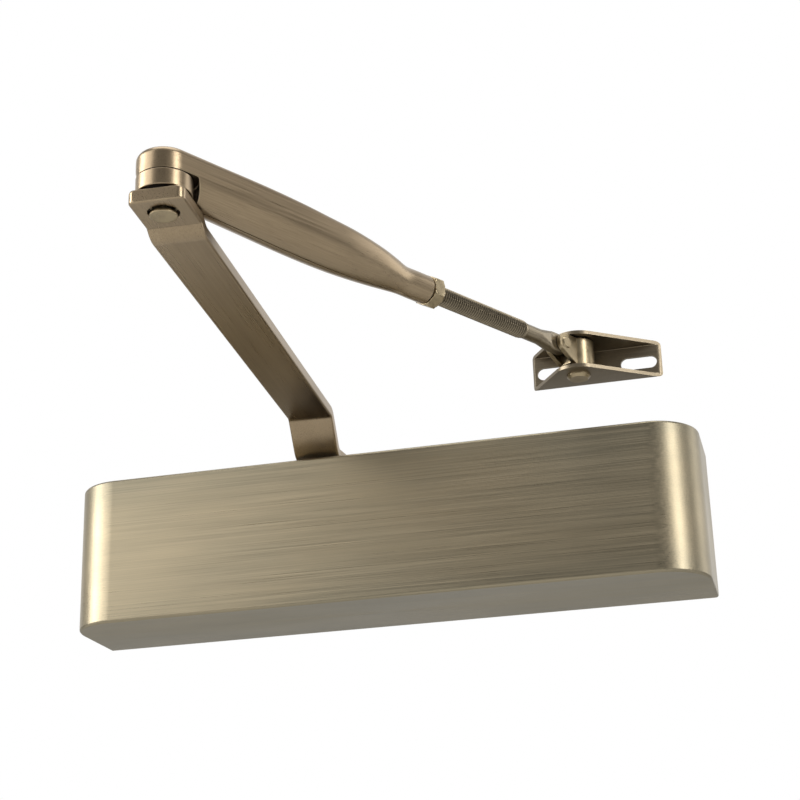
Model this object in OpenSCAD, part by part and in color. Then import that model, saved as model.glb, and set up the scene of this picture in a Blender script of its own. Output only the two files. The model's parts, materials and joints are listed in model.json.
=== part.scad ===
// Overhead door closer with a full cover and a regular (pull side) arm.
// Origin: middle of the body's fixing holes on the door face, which is the plane y = 0.
// +X runs along the cover, +Y goes into the door and +Z is up. All sizes are in millimetres.

/* [Cover] */
// Length of the cover
cover_length = 290; // [280:1:310]
// Height of the cover
cover_height = 67.5; // [67:0.5:76]
// How far the cover stands off the door
cover_depth = 53; // [53:0.5:60]
// Radius of the two upright front corners
cover_corner = 22; // [16:0.5:24]
// Radius of the cover's other outer edges
cover_edge = 1.4; // [0.8:0.1:2]
// Thickness of the cover's metal
cover_wall = 1.5; // [1.2:0.1:1.6]

/* [Body] */
// Place of the spindle along the body
spindle_x = -29; // [-32:0.5:-26]
// Distance from the door to the spindle and to the cylinder bore
spindle_off = 26.5; // [26:0.1:27]
// Distance between the fixing holes along the door
fixing_length = 230; // [228:0.5:234]
// Distance between the fixing holes up the door
fixing_height = 19; // [16:0.5:24]
// Diameter of the cylinder bore
bore_d = 36; // [35.5:0.1:36.2]

/* [Rack and pinion] */
// Module of the pinion's teeth
tooth_module = 2; // [1.9:0.05:2]
// Number of teeth on the pinion
teeth = 9; // [9:1:9]
// Largest turn of the spindle in degrees
spindle_turn = 170; // [150:1:172]

/* [Main arm] */
// Length from the spindle to the elbow pin
arm_length = 230; // [200:1:260]
// Width of the flat bar
arm_width = 20.6; // [18:0.2:21.4]
// Thickness of the flat bar
arm_thick = 5.2; // [4.8:0.1:5.4]
// Direction of the main arm, counted from +X
arm_angle = -86.95; // [-95:0.05:-80]

/* [Forearm] */
// Length from the elbow pin to the shoe pin
forearm_length = 231.5; // [228:0.5:240]
// Direction of the forearm, counted from +X
forearm_angle = 60.6; // [50:0.1:70]
// Height of the rod's axis above the body's middle
rod_z = 68.3; // [68.1:0.1:68.4]
// Outer radius of the rod's thread
rod_r = 3.95; // [3.8:0.05:4]

/* [Shoe] */
// Length of the shoe bracket
shoe_length = 58; // [56:1:64]
// Height of the shoe bracket
shoe_height = 17.1; // [17:0.1:17.6]
// Thickness of the shoe's sheet
shoe_sheet = 1.6; // [1.4:0.1:1.7]
// Width of the fixing slots
slot_width = 5.8; // [5:0.1:6]
// Length of the fixing slots, end to end
slot_length = 16; // [12:0.5:18]

/* [Hidden] */
$fn = 64;

slack = 0.03;                               // radial clearance of every running fit
spindle_y = -spindle_off;

// Body block, measured from the fixing centre
body_left = -104;
body_right = 108;
body_half_height = 28;
body_front = -49;
bore_r = bore_d / 2;
cap_r = bore_r + 1;
cap_length = 14;
lug_end = fixing_length / 2 + 9;
lug_thick = 9;
lug_half_height = 24;
fixing_hole_r = 3.25;
clip_sheet = 1.2;
clip_screw_y = -5.2;
channel_y = -42;
channel_z = 21;
channel_r = 1.6;
valve_r = 3;
sweep_x = -84;
latch_x = -70;
backcheck_x = 24;

// Rack and pinion
pitch_r = tooth_module * teeth / 2;
base_r = pitch_r * cos(20);
tip_r = pitch_r + tooth_module;
root_r = pitch_r - 1.4;
tooth_pitch = PI * tooth_module;
backlash = 0.14;
rack_tip = 1.0;
rack_root = 2.35;
rack_teeth = 6;
travel = pitch_r * spindle_turn * PI / 180;
journal_r = 7.5;

// Piston and spring, placed along X with the door shut
window_left = spindle_x - tip_r - travel - 1;
window_right = spindle_x + tip_r + 1.6;
piston_left = window_left - 16;
piston_right = window_right + 20;
piston_r = bore_r - slack;
ring_x = piston_left + 4;
ring_width = 2.2;
ball_r = 3.1;
ball_bore = 9;
ball_bore_r = 4;
duct_r = 1.8;
recess = 6;
spring_mean_r = 12.5;
wire_r = 2.2;
spring_coils = 8;

// Seat and screw that load the spring
seat_x = 80;
seat_thick = 5;
spigot = 5;
sleeve = 6.5;
sleeve_r = 9;
power_r = 4;
power_start = seat_x - 11;
collar_r = 7.5;
collar_thick = 1.6;
key_r = 2.5;
key_depth = 5;
groove_x = body_right - 4.9;
groove_width = 2.2;

// Heights of the spindle's stack, the same above and below
bearing_inner = 18.4;
bearing_outer = 24.2;
seal_outer = 26.4;
nut_outer = 30.6;
housing_r = 12;

// Main arm, seen from its side
foot_z = 38;
bar_z = 53.3;
end_z = 56.3;
riser_start = 13;
riser_end = 25.5;
foot_r = 12;
joggle_start = arm_length - 17.5;
joggle_end = arm_length - 11;
arm_end = arm_length + 10;
square = 10;

// Elbow
elbow = [spindle_x + arm_length * cos(arm_angle), spindle_y + arm_length * sin(arm_angle)];
pin_r = 5;
hub_r = 10.1;
pin_low = end_z - 1.5;
hub_bottom = end_z + arm_thick + 1.1;
hub_top = 68.95;
lug_bottom = hub_top + 0.4;
lug_top = 78.3;

// Forearm and rod, measured along the forearm from the elbow pin
neck_r = 5.85;
neck_start = 119;
neck_end = 133.3;
nut_thick = 5.6;
nut_corner_r = 6.93;
bore_start = 80;
thread_start = 104;
thread_end = 194.8;
rivet_s = forearm_length - 13;
rivet_r = 2;
shank_end = rivet_s - 9;
shank_r = 3.4;
eye_thick = 4.4;
eye_r = 4.3;

// Shoe
shoe_pin_at = elbow + forearm_length * [cos(forearm_angle), sin(forearm_angle)];
shoe_back = shoe_pin_at.y + 14.05;
shoe_left = shoe_pin_at.x - 22.4;
shoe_right = shoe_left + shoe_length;
shoe_low = rod_z - 10.8;
slot_z = rod_z - 3.2;
slot_inset = 10.2;
nose_r = 10.7;
shoe_pin_r = 3.5;
block_r = 7.4;
block_half = 4.5;
block_gap = 0.4;
block_low = shoe_low + shoe_sheet + block_gap;
block_height = shoe_height - 2 * (shoe_sheet + block_gap);

// ---------- helpers ----------

// A cylinder along +X that starts at x
module along_x(x, length, r) {
    translate([x, 0, 0]) rotate([0, 90, 0]) cylinder(h = length, r = r);
}

// A ring round the Z axis
module ring(z, height, outer, inner) {
    difference() {
        translate([0, 0, z]) cylinder(h = height, r = outer);
        translate([0, 0, z - 1]) cylinder(h = height + 2, r = inner);
    }
}

// A round-section ring in a plane across the Z axis
module o_ring(z, mean_r, cord_r) {
    translate([0, 0, z]) rotate_extrude() translate([mean_r, 0]) circle(r = cord_r, $fn = 24);
}

// Plan of the cover: square at the door, round at the front corners
module cover_plan(length, depth, corner) {
    translate([-length / 2, -(depth - corner)]) square([length, depth - corner]);
    translate([-(length / 2 - corner), -depth]) square([length - 2 * corner, depth]);
    for (side = [-1, 1])
        translate([side * (length / 2 - corner), -(depth - corner)]) circle(r = corner, $fn = 96);
}

// A solid with the cover's plan and small rounded edges along its top and bottom
module rounded_slab(length, depth, height, corner, edge) {
    rise = height / 2 - edge;
    translate([0, 0, -rise]) linear_extrude(2 * rise) cover_plan(length, depth, corner);
    translate([0, 0, -height / 2])
        linear_extrude(height) cover_plan(length - 2 * edge, depth - edge, corner - edge);
    for (end = [-1, 1], top = [-1, 1])
        translate([end * (length / 2 - corner), -(depth - corner), top * rise])
            rotate([0, 0, end > 0 ? -90 : 180])
                rotate_extrude(angle = 90, $fn = 96)
                    translate([corner - edge, 0]) circle(r = edge, $fn = 24);
    for (top = [-1, 1]) {
        translate([-(length / 2 - corner), -(depth - edge), top * rise])
            along_x(0, length - 2 * corner, edge, $fn = 24);
        for (end = [-1, 1])
            translate([end * (length / 2 - edge), -(depth - corner), top * rise])
                rotate([-90, 0, 0]) cylinder(h = depth - corner, r = edge, $fn = 24);
    }
}

// Points of one bend of a strip. off is 0 on its lower face and the thickness on its upper face.
function bend(at, a0, a1, inner, off) =
    let (turn = sign(a1 - a0),
         r = inner + (turn > 0 ? arm_thick : 0),
         back = r * tan(abs(a1 - a0) / 2),
         centre = at - back * [cos(a0), sin(a0)] + turn * r * [-sin(a0), cos(a0)])
    [for (i = [0:6]) let (a = a0 + (a1 - a0) * i / 6)
        centre - turn * (r - turn * off) * [-sin(a), cos(a)]];

// One face of the main arm from foot to end
function arm_face(off) =
    let (rise = atan2(bar_z - foot_z, riser_end - riser_start),
         step = atan2(end_z - bar_z, joggle_end - joggle_start))
    concat([[-foot_r - 1, foot_z + off]],
           bend([riser_start, foot_z], 0, rise, 3, off),
           bend([riser_end, bar_z], rise, 0, 3, off),
           bend([joggle_start, bar_z], 0, step, 3, off),
           bend([joggle_end, end_z], step, 0, 3, off),
           [[arm_end, end_z + off]]);

function reversed(list) = [for (i = [len(list) - 1:-1:0]) list[i]];

// Involute flank of the pinion: angle swept from the base circle to radius r
function flank_angle(r) = tan(acos(base_r / r)) * 180 / PI - acos(base_r / r);

// Outline of the pinion, with one tooth pointing along -Y
function pinion_outline() =
    let (half = 90 / teeth + flank_angle(pitch_r) - backlash / 2 / pitch_r * 180 / PI,
         steps = 6)
    [for (tooth = [0:teeth - 1]) let (middle = -90 + tooth * 360 / teeth)
        each concat(
            [root_r * [cos(middle - half), sin(middle - half)]],
            [for (i = [0:steps]) let (r = base_r + (tip_r - base_r) * i / steps,
                                      a = middle - half + flank_angle(r)) r * [cos(a), sin(a)]],
            [for (i = [steps:-1:0]) let (r = base_r + (tip_r - base_r) * i / steps,
                                         a = middle + half - flank_angle(r)) r * [cos(a), sin(a)]],
            [root_r * [cos(middle + half), sin(middle + half)]])];

// Plan of the piston's window. The rack's teeth stand up from its -Y side.
function window_plan(back) =
    let (half = tooth_pitch / 4 - backlash / 2,
         at_tip = half - rack_tip * tan(20),
         at_root = half + rack_root * tan(20),
         tip = rack_tip - pitch_r,
         root = -rack_root - pitch_r)
    concat(
        [[window_left, back], [window_right, back], [window_right, root]],
        [for (n = [0:rack_teeth - 1]) let (x = spindle_x + (0.5 - n) * tooth_pitch)
            each [[x + at_root, root], [x + at_tip, tip], [x - at_tip, tip], [x - at_root, root]]],
        [[window_left, root]]);

// Moves its children to the spindle's axis
module at_spindle() {
    translate([spindle_x, spindle_y, 0]) children();
}

// Moves its children to the bore's axis, which lies along X
module at_bore() {
    translate([0, spindle_y, 0]) children();
}

// The main arm's frame: +X from the spindle to the elbow
module along_arm() {
    at_spindle() rotate([0, 0, arm_angle]) children();
}

// The forearm's frame: +X from the elbow pin to the shoe pin
module along_forearm() {
    translate([elbow.x, elbow.y, 0]) rotate([0, 0, forearm_angle]) children();
}

module at_elbow() {
    translate([elbow.x, elbow.y, 0]) children();
}

// Mirrors its children below the bore's axis
module below() {
    mirror([0, 0, 1]) children();
}

// ---------- cover ----------

module cover() {
    clear_r = 16;
    color("#8d8062")
    difference() {
        rounded_slab(cover_length, cover_depth, cover_height, cover_corner, cover_edge);
        translate([0, 1, 0])
            rounded_slab(cover_length - 2 * cover_wall, cover_depth - cover_wall + 1,
                         cover_height - 2 * cover_wall, cover_corner - cover_wall, 0.4);
        // Notch in the top for the spindle, open towards the door
        at_spindle() cylinder(h = cover_height, r = clear_r);
        translate([spindle_x - clear_r, spindle_y, 0]) cube([2 * clear_r, 40, cover_height]);
        // Pockets for the clips' noses, from inside the two end walls
        for (end = [-1, 1])
            translate([end * (cover_length / 2 - cover_wall) - 0.5, -16.2, -11])
                cube([1, 4.4, 22]);
    }
}

// Spring clips at both ends that grip the cover from inside
module cover_clips() {
    nose_x = cover_length / 2 - cover_wall;
    color("#9a9a98")
    for (end = [0, 1]) mirror([end, 0, 0])
        difference() {
            union() {
                // Foot against the lug, bridge along the door, and a leg with a rolled nose
                translate([lug_end, -lug_thick, -10]) cube([clip_sheet, lug_thick - 0.2, 20]);
                translate([lug_end, -0.2 - clip_sheet, -10])
                    cube([nose_x - 1.1 - lug_end, clip_sheet, 20]);
                translate([nose_x - 1.1 - clip_sheet, -13.2, -10]) cube([clip_sheet, 13, 20]);
                translate([nose_x - 1, -14, -10]) cylinder(h = 20, r = 1.3, $fn = 32);
            }
            translate([0, clip_screw_y, 0]) along_x(lug_end - 1, 4, 2.1);
        }
}

// Screws that hold the clips to the ends of the body's lugs
module clip_screws() {
    color("#b5b5b2")
    for (end = [0, 1]) mirror([end, 0, 0])
        translate([0, clip_screw_y, 0])
            difference() {
                union() {
                    along_x(lug_end - 7, 7 + clip_sheet, 2);
                    along_x(lug_end + clip_sheet, 2.2, 3.4);
                }
                along_x(lug_end + clip_sheet + 0.8, 3, 1.5, $fn = 6);
            }
}

// ---------- body ----------

module body_block() {
    edge = 7;
    translate([body_left, body_front + edge, -body_half_height])
        cube([body_right - body_left, -body_front - edge, 2 * body_half_height]);
    translate([body_left, body_front, -body_half_height + edge])
        cube([body_right - body_left, edge, 2 * (body_half_height - edge)]);
    for (side = [-1, 1])
        translate([0, body_front + edge, side * (body_half_height - edge)])
            along_x(body_left, body_right - body_left, edge);
    // Fixing lugs at both ends
    translate([-lug_end, -lug_thick, -lug_half_height + 6])
        cube([2 * lug_end, lug_thick, 2 * lug_half_height - 12]);
    translate([-lug_end + 6, -lug_thick, -lug_half_height])
        cube([2 * lug_end - 12, lug_thick, 2 * lug_half_height]);
    for (end = [-1, 1], side = [-1, 1])
        translate([end * (lug_end - 6), 0, side * (lug_half_height - 6)])
            rotate([90, 0, 0]) cylinder(h = lug_thick, r = 6);
}

module closer_body() {
    color("#a9abad")
    difference() {
        body_block();
        at_bore() {
            along_x(body_left - 1, body_right - body_left + 2, bore_r, $fn = 96);
            along_x(body_left - 1, cap_length + 1, cap_r, $fn = 96);
            along_x(body_right - cap_length, cap_length + 1, cap_r, $fn = 96);
        }
        at_spindle() translate([0, 0, -body_half_height - 1])
            cylinder(h = 2 * body_half_height + 2, r = housing_r);
        // Fixing holes
        for (x = [-1, 1], z = [-1, 1])
            translate([x * fixing_length / 2, 1, z * fixing_height / 2])
                rotate([90, 0, 0]) cylinder(h = lug_thick + 2, r = fixing_hole_r);
        // Oil channel with its cross drillings, and the valve bores
        translate([0, channel_y, channel_z]) along_x(body_left - 1, 160, channel_r, $fn = 24);
        for (x = [sweep_x, latch_x, backcheck_x]) {
            translate([x, body_front - 1, channel_z])
                rotate([-90, 0, 0]) cylinder(h = 11, r = valve_r + slack);
            translate([x, channel_y, channel_z])
                rotate([atan2(channel_y - spindle_y, channel_z), 0, 0])
                    translate([0, 0, -14]) cylinder(h = 14, r = 1.2, $fn = 24);
        }
        // Tapped holes for the clip screws
        for (end = [0, 1]) mirror([end, 0, 0])
            translate([0, clip_screw_y, 0]) along_x(lug_end - 9, 10, 2);
    }
}

module end_cap_groove(x) {
    at_bore() rotate([0, 90, 0]) ring(x, 2.6, cap_r + 1, cap_r - 1.9);
}

module left_end_cap() {
    color("#7f8285")
    difference() {
        at_bore() along_x(body_left, cap_length, cap_r);
        end_cap_groove(body_left + cap_length - 4.6);
        at_bore() along_x(body_left - 1, 7, 6, $fn = 6);
    }
}

module right_end_cap() {
    color("#7f8285")
    difference() {
        at_bore() along_x(body_right - cap_length, cap_length, cap_r);
        end_cap_groove(body_right - cap_length + 2);
        at_bore() {
            along_x(body_right - cap_length - 1, cap_length + 2, power_r + slack);
            rotate([0, 90, 0]) ring(body_right - 5, 2.4, power_r + 1.6, power_r - 1);
            for (side = [-1, 1])
                translate([0, side * 12, 0]) along_x(body_right - 5, 6, 2.2);
        }
    }
}

module end_cap_seals() {
    color("#202022")
    for (x = [body_left + cap_length - 3.3, body_right - cap_length + 3.3])
        at_bore() rotate([0, 90, 0]) o_ring(x, cap_r - 0.95, 0.93);
}

// Steel balls pressed into the open end of the oil channel and the far cross drilling
module channel_plugs() {
    color("#c8c8c6")
    for (x = [body_left + 2.4, body_left + 6.2])
        translate([x, channel_y, channel_z]) sphere(r = channel_r - 0.01, $fn = 32);
}

// Regulating screw in the body's front face: head, seal groove, land and tapered needle
module valve(x) {
    head = 2.2;
    groove = 1.6;
    land = 1.4;
    needle = 2.8;
    translate([x, body_front + 0.4, channel_z]) rotate([-90, 0, 0])
        difference() {
            union() {
                cylinder(h = head, r = valve_r);
                translate([0, 0, head]) cylinder(h = groove, r = valve_r - 0.9);
                translate([0, 0, head + groove]) cylinder(h = land, r = valve_r);
                translate([0, 0, head + groove + land]) cylinder(h = needle, r1 = 1.5, r2 = 0.6);
            }
            translate([0, 0, -1]) cylinder(h = head + 0.8, r = 1.5, $fn = 6);
        }
}

module sweep_valve() {
    color("#b9a15c") valve(sweep_x);
}

module latch_valve() {
    color("#b9a15c") valve(latch_x);
}

module backcheck_valve() {
    color("#b9a15c") valve(backcheck_x);
}

module valve_seals() {
    color("#202022")
    for (x = [sweep_x, latch_x, backcheck_x])
        translate([x, body_front + 0.4, channel_z]) rotate([-90, 0, 0])
            o_ring(3, valve_r - 0.4, 0.4);
}

// ---------- spindle supports ----------

module bearing() {
    at_spindle() ring(bearing_inner, bearing_outer - bearing_inner, housing_r, journal_r + slack);
}

module upper_bearing() {
    color("#c7c9ca") bearing();
}

module lower_bearing() {
    color("#c7c9ca") below() bearing();
}

module seal() {
    at_spindle() ring(bearing_outer, seal_outer - bearing_outer, housing_r - 0.02, journal_r + 0.02);
}

module upper_seal() {
    color("#202022") seal();
}

module lower_seal() {
    color("#202022") below() seal();
}

// Threaded ring that closes the bearing housing, with four key slots
module bearing_nut() {
    at_spindle()
        difference() {
            union() {
                ring(seal_outer, nut_outer - seal_outer, housing_r - 0.02, journal_r + 0.2);
                ring(body_half_height, nut_outer - body_half_height, housing_r + 2,
                     journal_r + 0.2);
            }
            for (a = [45:90:315]) rotate([0, 0, a])
                translate([housing_r - 0.6, -1.5, nut_outer - 1.6]) cube([5, 3, 3]);
        }
}

module upper_bearing_nut() {
    color("#8a8c8e") bearing_nut();
}

module lower_bearing_nut() {
    color("#8a8c8e") below() bearing_nut();
}

// ---------- piston and spring ----------

module piston() {
    bearing_room = bearing_inner - 1.4;
    color("#b0b2b4")
    at_bore()
    difference() {
        along_x(piston_left, piston_right - piston_left, piston_r, $fn = 96);
        translate([0, 0, -bore_r - 1]) linear_extrude(2 * bore_r + 2)
            polygon(window_plan(tip_r + 0.6));
        // Flats along its top and bottom, under the bearings
        for (side = [0, 1]) mirror([0, 0, side])
            translate([piston_left - 1, -13, bearing_room])
                cube([piston_right - piston_left + 2, 26, 5]);
        // Ring groove, non-return valve and spring recess
        rotate([0, 90, 0]) ring(ring_x, ring_width, piston_r + 1, piston_r - 2);
        along_x(piston_left - 1, ball_bore + 1, ball_bore_r);
        along_x(piston_left, window_left - piston_left + 4, duct_r);
        along_x(piston_right - recess, recess + 1, spring_mean_r + wire_r + 0.6);
    }
}

module piston_ring() {
    color("#3a3a3c")
    at_bore() rotate([0, 90, 0])
        ring(ring_x + 0.1, ring_width - 0.2, piston_r - 0.01, piston_r - 1.95);
}

module check_ball() {
    color("#d4d4d2")
    at_bore() translate([piston_left + ball_bore - ball_r - 0.3, 0, 0]) sphere(r = ball_r);
}

module ball_retainer() {
    color("#8c8e90")
    at_bore() rotate([0, 90, 0]) ring(piston_left + 0.4, 1.4, ball_bore_r - 0.01, 2.2);
}

// Point on the spring's wire axis. turn counts coils from the piston's end.
function coil_point(turn) =
    let (start = piston_right - recess + wire_r + 0.1,
         length = seat_x - 0.1 - wire_r - start,
         rest = turn <= 1 ? 2 * wire_r * turn / length
              : turn >= spring_coils - 1 ? 1 - 2 * wire_r * (spring_coils - turn) / length
              : 2 * wire_r / length
                + (turn - 1) / (spring_coils - 2) * (1 - 4 * wire_r / length))
    [start + rest * length, spring_mean_r * cos(360 * turn), spring_mean_r * sin(360 * turn)];

module closing_spring() {
    sides = 8;
    per_turn = 20;
    rings = spring_coils * per_turn;
    points = [for (i = [0:rings], k = [0:sides - 1])
        let (turn = i / per_turn,
             out = [0, cos(360 * turn), sin(360 * turn)],
             a = 360 * k / sides)
        coil_point(turn) + wire_r * (cos(a) * out + sin(a) * [1, 0, 0])];
    faces = concat(
        [[for (k = [sides - 1:-1:0]) k]],
        [[for (k = [0:sides - 1]) rings * sides + k]],
        [for (i = [0:rings - 1], k = [0:sides - 1])
            let (next = (k + 1) % sides)
            [i * sides + k, i * sides + next, (i + 1) * sides + next, (i + 1) * sides + k]]);
    color("#5a5d60") at_bore() polyhedron(points, faces, convexity = 10);
}

// Seat that the adjusting screw pushes against the spring
module spring_seat() {
    color("#77797c")
    at_bore()
    difference() {
        union() {
            along_x(seat_x, seat_thick, bore_r - 0.3);
            along_x(seat_x - spigot, spigot + 1, spring_mean_r - wire_r - 0.5);
            along_x(seat_x + seat_thick - 1, sleeve + 1, sleeve_r);
        }
        along_x(seat_x - spigot - 1, spigot + seat_thick + sleeve + 2, power_r + slack);
    }
}

module power_screw() {
    color("#9b9da0")
    at_bore()
    difference() {
        union() {
            along_x(power_start, body_right - power_start, power_r);
            along_x(body_right - cap_length - collar_thick - 0.3, collar_thick, collar_r);
        }
        along_x(body_right - key_depth, key_depth + 1, key_r, $fn = 6);
        rotate([0, 90, 0]) ring(groove_x, groove_width, power_r + 1, power_r - 0.5);
    }
}

module power_screw_seal() {
    color("#202022")
    at_bore() rotate([0, 90, 0]) o_ring(groove_x + groove_width / 2, power_r + 0.53, 0.98);
}

// ---------- spindle and main arm ----------

module pinion_spindle() {
    gear_half = 16.6;
    color("#8e8a80")
    at_spindle()
    difference() {
        union() {
            translate([0, 0, -gear_half]) linear_extrude(2 * gear_half) polygon(pinion_outline());
            translate([0, 0, -nut_outer]) cylinder(h = foot_z + nut_outer - 0.02, r = journal_r);
            rotate([0, 0, arm_angle])
                translate([-square / 2 + 0.05, -square / 2 + 0.05, foot_z - 1])
                    cube([square - 0.1, square - 0.1, arm_thick + 0.7]);
        }
        translate([0, 0, foot_z - 12]) cylinder(h = 20, r = 3);
        translate([0, 0, -nut_outer - 1]) cylinder(h = 6, r = 3);
    }
}

// Plastic cap pushed into the unused lower end of the spindle
module lower_spindle_cap() {
    color("#2b2b2d")
    at_spindle() {
        translate([0, 0, -nut_outer - 1.1]) cylinder(h = 1.1, r = journal_r);
        translate([0, 0, -nut_outer]) cylinder(h = 4, r = 2.98);
    }
}

module arm_plan() {
    corner = 3;
    translate([0, -arm_width / 2]) square([arm_end - corner, arm_width]);
    translate([arm_end - corner - 1, -arm_width / 2 + corner])
        square([corner + 1, arm_width - 2 * corner]);
    for (side = [-1, 1])
        translate([arm_end - corner, side * (arm_width / 2 - corner)]) circle(r = corner);
    circle(r = foot_r);
}

module main_arm() {
    color("#7b6d52")
    along_arm()
    difference() {
        intersection() {
            rotate([90, 0, 0]) translate([0, 0, -20])
                linear_extrude(40) polygon(concat(arm_face(0), reversed(arm_face(arm_thick))));
            translate([0, 0, foot_z - 1]) linear_extrude(60) arm_plan();
        }
        translate([-square / 2, -square / 2, foot_z - 1]) cube([square, square, arm_thick + 2]);
        translate([arm_length, 0, end_z - 1]) cylinder(h = arm_thick + 2, r = pin_r);
        translate([arm_length, 0, end_z - 1]) cylinder(h = 3, r = pin_r + 0.6);
    }
}

module arm_washer() {
    color("#9c8b62")
    at_spindle() ring(foot_z + arm_thick, 1.4, 8.2, 3.2);
}

module arm_screw() {
    head_z = foot_z + arm_thick + 1.4;
    color("#9c8b62")
    at_spindle()
    difference() {
        union() {
            translate([0, 0, foot_z - 9]) cylinder(h = head_z - foot_z + 9, r = 2.98);
            translate([0, 0, head_z]) cylinder(h = 4, r = 5);
        }
        translate([0, 0, head_z + 1.4]) cylinder(h = 4, r = 2.6, $fn = 6);
    }
}

// ---------- elbow ----------

module elbow_washer() {
    color("#3b3a38") at_elbow() ring(end_z + arm_thick, hub_bottom - end_z - arm_thick, 7.6, pin_r + slack);
}

module elbow_hub() {
    color("#9b8b64") at_elbow() ring(hub_bottom, hub_top - hub_bottom, hub_r, pin_r + slack);
}

module elbow_shim() {
    color("#3b3a38") at_elbow() ring(hub_top, lug_bottom - hub_top - 0.05, 8.4, pin_r + slack);
}

// Pin fixed in the main arm, with a necked head below it and a riveted end above
module elbow_pin() {
    head = 0.7;
    color("#a18f66")
    at_elbow() {
        translate([0, 0, pin_low]) cylinder(h = head, r = pin_r - slack);
        translate([0, 0, pin_low]) cylinder(h = end_z - pin_low + 2, r = pin_r - 0.8);
        translate([0, 0, end_z + 2]) cylinder(h = arm_thick - 2, r = pin_r);
        translate([0, 0, end_z + 2]) cylinder(h = lug_top - end_z - 4, r = pin_r - slack);
    }
}

// ---------- forearm ----------

// Half width, top, underside and top corner radius at places along the forearm
stations = [[0, hub_r, lug_top, 62.1, 3],
            [16, hub_r, lug_top, 62.1, 3],
            [40, 10.3, 78.2, 61.3, 3],
            [58, 10.5, 77.6, 60.6, 3.1],
            [73, 10.4, 76.9, 60.3, 3.4],
            [84, 10.1, 76.6, 60.4, 3.8],
            [94, 9.4, 76.1, 60.8, 4.2],
            [104, 8.4, 75.4, 61.4, 4.8],
            [112, 7.1, 74.8, 62, 5.4],
            [neck_start, neck_r, rod_z + neck_r, rod_z - neck_r, neck_r],
            [neck_end, neck_r, rod_z + neck_r, rod_z - neck_r, neck_r]];

function station(s, column) = lookup(s, [for (row = stations) [row[0], row[column]]]);

// Cross-section of the forearm at s: a round underside, upright sides and a softly cornered top
function forearm_section(s) =
    let (half = station(s, 1), top = station(s, 2), low = station(s, 3), corner = station(s, 4),
         arc = 8)
    concat(
        [for (i = [0:2 * arc]) let (a = 180 + 90 * i / arc)
            [s, half * cos(a), low + half + half * sin(a)]],
        [for (i = [0:arc]) let (a = 90 * i / arc)
            [s, half - corner + corner * cos(a), top - corner + corner * sin(a)]],
        [for (i = [0:arc]) let (a = 90 + 90 * i / arc)
            [s, -half + corner + corner * cos(a), top - corner + corner * sin(a)]]);

module forearm_shell() {
    places = [for (row = stations) row[0]];
    sections = [for (s = places) forearm_section(s)];
    sides = len(sections[0]);
    last = len(places) - 1;
    faces = concat(
        [[for (k = [0:sides - 1]) k]],
        [[for (k = [sides - 1:-1:0]) last * sides + k]],
        [for (i = [0:last - 1], k = [0:sides - 1])
            let (next = (k + 1) % sides)
            [i * sides + k, (i + 1) * sides + k, (i + 1) * sides + next, i * sides + next]]);
    polyhedron([for (section = sections) each section], faces, convexity = 6);
}

module forearm() {
    lug_corner = 3;
    color("#857a5f")
    along_forearm()
    difference() {
        union() {
            forearm_shell();
            translate([0, 0, lug_bottom]) cylinder(h = lug_top - lug_corner - lug_bottom, r = hub_r);
            translate([0, 0, lug_bottom]) cylinder(h = lug_top - lug_bottom, r = hub_r - lug_corner);
            translate([0, 0, lug_top - lug_corner]) rotate_extrude()
                translate([hub_r - lug_corner, 0]) circle(r = lug_corner, $fn = 32);
        }
        // Round clearance for the hub below the lug
        translate([0, 0, 50]) cylinder(h = lug_bottom - 50, r = hub_r + 2.2);
        translate([0, 0, 50]) cylinder(h = 40, r = pin_r);
        translate([0, 0, lug_top - 1.6]) cylinder(h = 3, r = pin_r + 1.6);
        // Threaded bore for the rod
        translate([0, 0, rod_z]) along_x(bore_start, neck_end, rod_r + slack);
    }
}

module lock_nut() {
    start = neck_end + 0.15;
    face_r = nut_corner_r - 0.65;
    middle_r = face_r + nut_thick / 2;
    color("#a8976a")
    along_forearm() translate([0, 0, rod_z])
    difference() {
        intersection() {
            along_x(start, nut_thick, nut_corner_r, $fn = 6);
            // Chamfered corners on both faces
            translate([start, 0, 0]) rotate([0, 90, 0]) {
                cylinder(h = nut_thick / 2, r1 = face_r, r2 = middle_r);
                translate([0, 0, nut_thick / 2])
                    cylinder(h = nut_thick / 2, r1 = middle_r, r2 = face_r);
            }
        }
        along_x(start - 1, nut_thick + 2, rod_r + slack);
    }
}

module threaded_rod() {
    shoulder = 5;
    color("#746a55")
    along_forearm() translate([0, 0, rod_z])
    difference() {
        union() {
            along_x(thread_start, thread_end - thread_start, rod_r);
            along_x(thread_end, shank_end - thread_end, shank_r);
            // The shank swells into the shoulder behind the eye
            translate([shank_end - shoulder, 0, 0]) rotate([0, 90, 0])
                cylinder(h = shoulder, r1 = shank_r, r2 = eye_r);
            translate([shank_end, -eye_thick / 2, -eye_r])
                cube([rivet_s - shank_end, eye_thick, 2 * eye_r]);
            translate([rivet_s, eye_thick / 2, 0]) rotate([90, 0, 0])
                cylinder(h = eye_thick, r = eye_r);
        }
        translate([rivet_s, 10, 0]) rotate([90, 0, 0]) cylinder(h = 20, r = rivet_r + slack);
    }
}

module tilt_rivet() {
    color("#a8976a")
    along_forearm() translate([rivet_s, 0, rod_z]) rotate([90, 0, 0]) {
        translate([0, 0, -block_half]) cylinder(h = 2 * block_half, r = rivet_r);
        for (side = [0, 1]) mirror([0, 0, side])
            translate([0, 0, block_half]) cylinder(h = 0.7, r1 = rivet_r + 0.7, r2 = rivet_r + 0.1);
    }
}

// ---------- shoe ----------

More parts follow.
